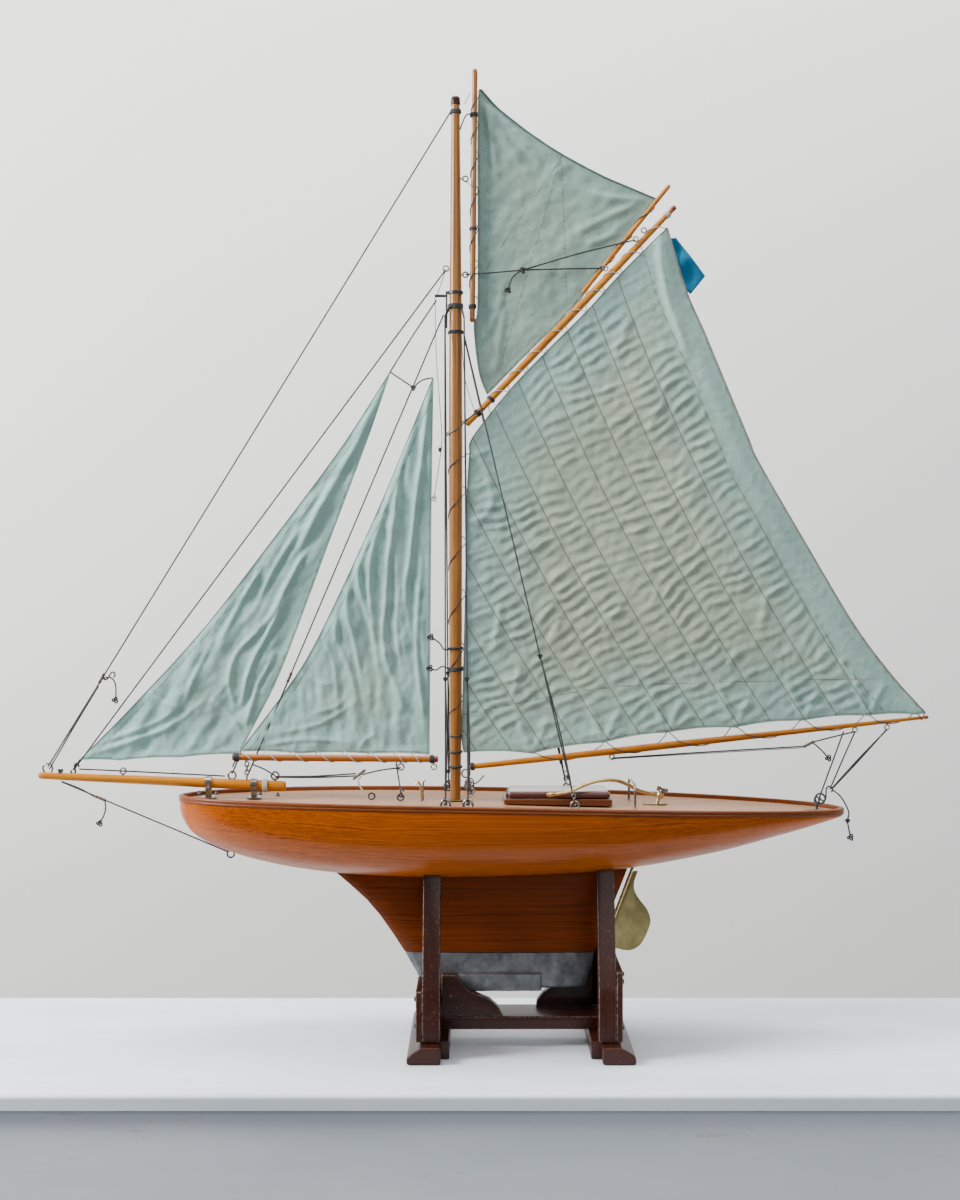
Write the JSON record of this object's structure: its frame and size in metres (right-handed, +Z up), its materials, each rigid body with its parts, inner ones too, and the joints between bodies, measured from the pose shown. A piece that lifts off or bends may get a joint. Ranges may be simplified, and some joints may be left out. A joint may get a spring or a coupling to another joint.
{
  "type": "gaff cutter pond yacht on stand",
  "caption": "Wooden model gaff cutter with deep ballasted keel, brass rudder, four cloth sails and wire-and-cord rigging, resting on a dark four-post wooden stand",
  "frame": {"origin": "on the ground under the stand, at the middle of the whole box", "axes": "+X runs aft, from the bowsprit to the boom end; +Y is starboard; +Z is up"},
  "size_m": [1.2103, 0.2368, 1.3227],
  "materials": {
    "varnished_hull": "amber varnish over fine-grained wood, glossy",
    "keel_wood": "dark red-brown varnished wood, satin",
    "red_wood": "reddish brown moulded rail, worn along its edges",
    "deck_wood": "pale greyed bare wood, matt",
    "hatch_wood": "golden brown varnished wood",
    "pine_spar": "golden varnished pine, satin",
    "stand_wood": "dark maroon-brown stain with worn flecks, satin",
    "lead": "mottled grey cast lead",
    "brass": "aged brass, dull",
    "nickel_fittings": "dull plated wire and plate",
    "dark_iron": "blackened iron",
    "mainsail_cloth": "pale grey-green cotton, creased",
    "headsail_cloth": "pale teal cotton, creased",
    "pennant_cloth": "cyan-blue cloth",
    "rigging_cord": "grey-black laid cord"
  },
  "bodies": {
    "stand": {"stand_foot_fore": "stand_wood", "stand_foot_aft": "stand_wood", "stand_stretcher": "stand_wood", "stand_gusset_fore": "stand_wood", "stand_gusset_aft": "stand_wood", "stand_board_fore": "stand_wood", "stand_board_aft": "stand_wood", "stand_post_fore_port": "stand_wood", "stand_post_fore_starboard": "stand_wood", "stand_post_aft_port": "stand_wood", "stand_post_aft_starboard": "stand_wood"},
    "yacht": {"hull_shell": "varnished_hull", "deck": "deck_wood", "toe_rail": "red_wood", "keel_fin": "keel_wood", "ballast_lead": "lead", "trim_lead": "lead", "bowsprit": "pine_spar", "bowsprit_saddle_fore": "nickel_fittings", "bowsprit_saddle_aft": "nickel_fittings", "mast": "pine_spar", "mast_step": "keel_wood", "mast_bracket": "dark_iron", "hatch_coaming": "hatch_wood", "rudder_head_plate": "brass", "rudder_tube": "brass", "tiller_horse": "nickel_fittings", "chainplate_fore_port": "nickel_fittings", "chainplate_fore_starboard": "nickel_fittings", "chainplate_aft_port": "nickel_fittings", "chainplate_aft_starboard": "nickel_fittings", "runner_eye_port": "nickel_fittings", "runner_eye_starboard": "nickel_fittings", "stern_eye": "dark_iron", "topmast_stay": "rigging_cord", "jib_stay": "rigging_cord", "forestay": "rigging_cord", "bobstay": "rigging_cord", "mainsheet": "rigging_cord", "staysail_sheet": "rigging_cord", "shroud_fore_port": "rigging_cord", "shroud_fore_starboard": "rigging_cord", "shroud_aft_port": "rigging_cord", "shroud_aft_starboard": "rigging_cord", "runner_port": "rigging_cord", "runner_starboard": "rigging_cord"},
    "main_rig": {"boom": "pine_spar", "gaff": "pine_spar", "topsail_yard": "pine_spar", "jackyard": "pine_spar", "mainsail": "mainsail_cloth", "topsail": "mainsail_cloth", "pennant": "pennant_cloth"},
    "staysail_rig": {"club_boom": "pine_spar", "staysail": "headsail_cloth"},
    "jib_sail": {"jib": "headsail_cloth"},
    "steering": {"rudder": "brass", "tiller": "brass"},
    "tiller_nut": {"wing_nut": "nickel_fittings"},
    "hatch": {"hatch_cover": "stand_wood"}
  },
  "joints": [
    {"name": "yacht_lift", "type": "slide", "parent": "stand", "child": "yacht", "axis": [0, 0, 1], "range_m": [0, 0.2]},
    {"name": "boom_swing", "type": "hinge", "parent": "yacht", "child": "main_rig", "pos_m": [-0.038, 0, 0.3729], "axis": [0, 0, 1], "range_deg": [-14, 14]},
    {"name": "staysail_swing", "type": "hinge", "parent": "yacht", "child": "staysail_rig", "pos_m": [-0.3205, 0, 0.362], "axis": [0.3911, 0, 0.9204], "range_deg": [-30, 30]},
    {"name": "jib_swing", "type": "hinge", "parent": "yacht", "child": "jib_sail", "pos_m": [-0.5575, 0, 0.369], "axis": [0.5968, 0, 0.8024], "range_deg": [-25, 25]},
    {"name": "rudder_turn", "type": "hinge", "parent": "yacht", "child": "steering", "pos_m": [0.2387, 0, 0.33], "axis": [0.3557, 0, 0.9346], "range_deg": [-1, 20]},
    {"name": "wing_nut_turn", "type": "hinge", "parent": "steering", "child": "tiller_nut", "pos_m": [0.2387, 0, 0.33], "axis": [0.3557, 0, 0.9346], "continuous": true},
    {"name": "hatch_lift", "type": "slide", "parent": "yacht", "child": "hatch", "axis": [0, 0, 1], "range_m": [0, 0.004]}
  ]
}
